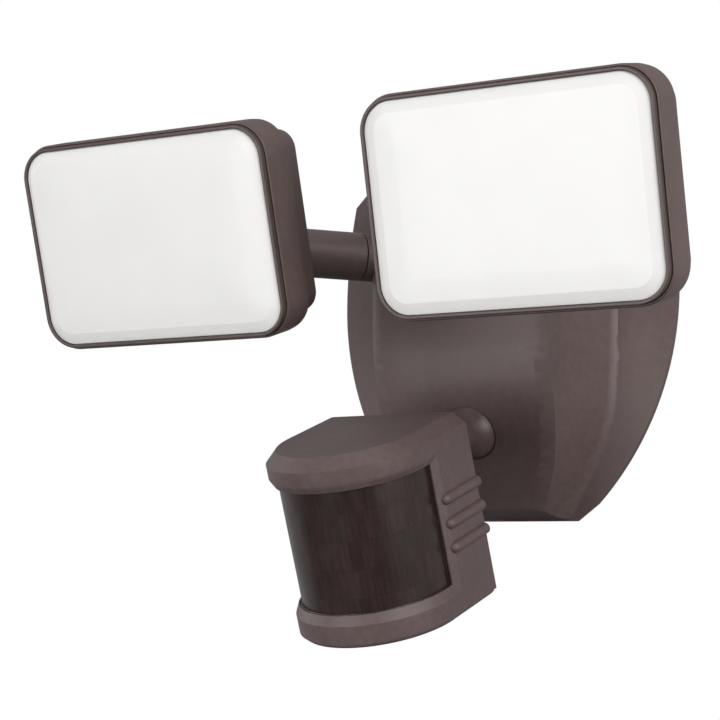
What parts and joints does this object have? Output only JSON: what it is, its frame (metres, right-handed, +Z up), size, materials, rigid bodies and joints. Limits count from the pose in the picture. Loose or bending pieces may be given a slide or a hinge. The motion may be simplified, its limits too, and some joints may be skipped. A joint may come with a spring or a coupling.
{
  "type": "motion sensor security light",
  "caption": "Outdoor wall security light with rectangular lamp heads on swivelling arms and a hooded motion sensor on a ball joint below.",
  "frame": {"origin": "middle of the wall bracket's two slots, on the wall", "axes": "X to the right seen from the front, -Y out from the wall, +Z up"},
  "size_m": [0.2592, 0.1582, 0.1963],
  "materials": {
    "bronze_cover": "fine moulded grain",
    "bronze_arm": "fine moulded grain",
    "plug_plastic": "moulded",
    "gasket_foam": "closed cell foam",
    "seal_rubber": "soft",
    "zinc_steel": "zinc plated",
    "screw_steel": "zinc plated",
    "ground_brass": "green",
    "circuit_board": "solder mask",
    "transformer_core": "laminated",
    "capacitor_sleeve": "shrink sleeve",
    "relay_case": "moulded",
    "terminal_plastic": "moulded",
    "nut_plastic": "nylon",
    "ball_plastic": "moulded",
    "cup_plastic": "acetal",
    "bronze_head": "fine moulded grain",
    "bronze_bezel": "moulded",
    "bronze_ring": "moulded",
    "opal_lens": "frosted opal",
    "heat_aluminium": "milled",
    "white_board": "white solder mask",
    "led_phosphor": "phosphor",
    "bronze_sensor": "fine moulded grain",
    "dark_window": "dark infrared window",
    "detector_can": "drawn can",
    "cell_epoxy": "clear epoxy",
    "control_plastic": "moulded"
  },
  "bodies": {
    "fixture": {"housing_cover": "bronze_cover", "wall_gasket": "gasket_foam", "wall_bracket": "zinc_steel", "cover_screw": "screw_steel", "screw_plug": "plug_plastic", "ground_screw": "ground_brass", "driver_board": "circuit_board", "board_screws": "screw_steel", "transformer": "transformer_core", "capacitors": "capacitor_sleeve", "lamp_relay": "relay_case", "terminal_block": "terminal_plastic", "sensor_clamp": "nut_plastic", "left_arm": "bronze_arm", "left_arm_seal": "seal_rubber", "left_arm_nut": "nut_plastic", "left_arm_ball": "ball_plastic", "right_arm": "bronze_arm", "right_arm_seal": "seal_rubber", "right_arm_nut": "nut_plastic", "right_arm_ball": "ball_plastic"},
    "left_pan": {"left_ball_cup": "cup_plastic"},
    "left_head": {"left_head_housing": "bronze_head", "left_head_pan": "bronze_head", "left_socket_ring": "bronze_ring", "left_head_bezel": "bronze_bezel", "left_lens_gasket": "seal_rubber", "left_lens": "opal_lens", "left_heat_plate": "heat_aluminium", "left_led_board": "white_board", "left_led_chips": "led_phosphor", "left_head_screws": "screw_steel"},
    "right_pan": {"right_ball_cup": "cup_plastic"},
    "right_head": {"right_head_housing": "bronze_head", "right_head_pan": "bronze_head", "right_socket_ring": "bronze_ring", "right_head_bezel": "bronze_bezel", "right_lens_gasket": "seal_rubber", "right_lens": "opal_lens", "right_heat_plate": "heat_aluminium", "right_led_board": "white_board", "right_led_chips": "led_phosphor", "right_head_screws": "screw_steel"},
    "sensor_pan": {"sensor_cup": "cup_plastic"},
    "sensor_head": {"sensor_housing": "bronze_sensor", "sensor_window": "dark_window", "sensor_base": "bronze_sensor", "control_board": "circuit_board", "dial_case": "nut_plastic", "switch_case": "relay_case", "sensor_board": "circuit_board", "heat_detector": "detector_can", "light_cell": "cell_epoxy", "sensor_neck": "ball_plastic", "neck_nut": "nut_plastic", "sensor_screws": "screw_steel"},
    "range_knob": {"range_dial": "control_plastic"},
    "time_button": {"time_switch": "control_plastic"}
  },
  "joints": [
    {"name": "left_head_pan", "type": "hinge", "parent": "fixture", "child": "left_pan", "pos_m": [-0.0743, -0.0996, 0.034], "axis": [0, 0, 1], "range_deg": [-20, 20]},
    {"name": "left_head_tilt", "type": "hinge", "parent": "left_pan", "child": "left_head", "pos_m": [-0.0743, -0.0996, 0.034], "axis": [1, 0, 0], "range_deg": [-40, 20]},
    {"name": "right_head_pan", "type": "hinge", "parent": "fixture", "child": "right_pan", "pos_m": [0.0743, -0.0996, 0.034], "axis": [0, 0, 1], "range_deg": [-20, 20]},
    {"name": "right_head_tilt", "type": "hinge", "parent": "right_pan", "child": "right_head", "pos_m": [0.0743, -0.0996, 0.034], "axis": [1, 0, 0], "range_deg": [-40, 20]},
    {"name": "sensor_pan_turn", "type": "hinge", "parent": "fixture", "child": "sensor_pan", "pos_m": [0, -0.02857, -0.03593], "axis": [0, 0, 1], "range_deg": [-11, 20]},
    {"name": "sensor_tilt", "type": "hinge", "parent": "sensor_pan", "child": "sensor_head", "pos_m": [0, -0.02857, -0.03593], "axis": [0.9971, -0.0767, 0], "range_deg": [-10, 25]},
    {"name": "range_dial_turn", "type": "hinge", "parent": "sensor_head", "child": "range_knob", "pos_m": [0.00722, -0.09109, -0.11103], "axis": [-0.0266, -0.3459, 0.9379], "range_deg": [-135, 135]},
    {"name": "time_switch_slide", "type": "slide", "parent": "sensor_head", "child": "time_button", "axis": [0.9971, -0.0767, 0], "range_m": [-0.003, 0.003]}
  ]
}
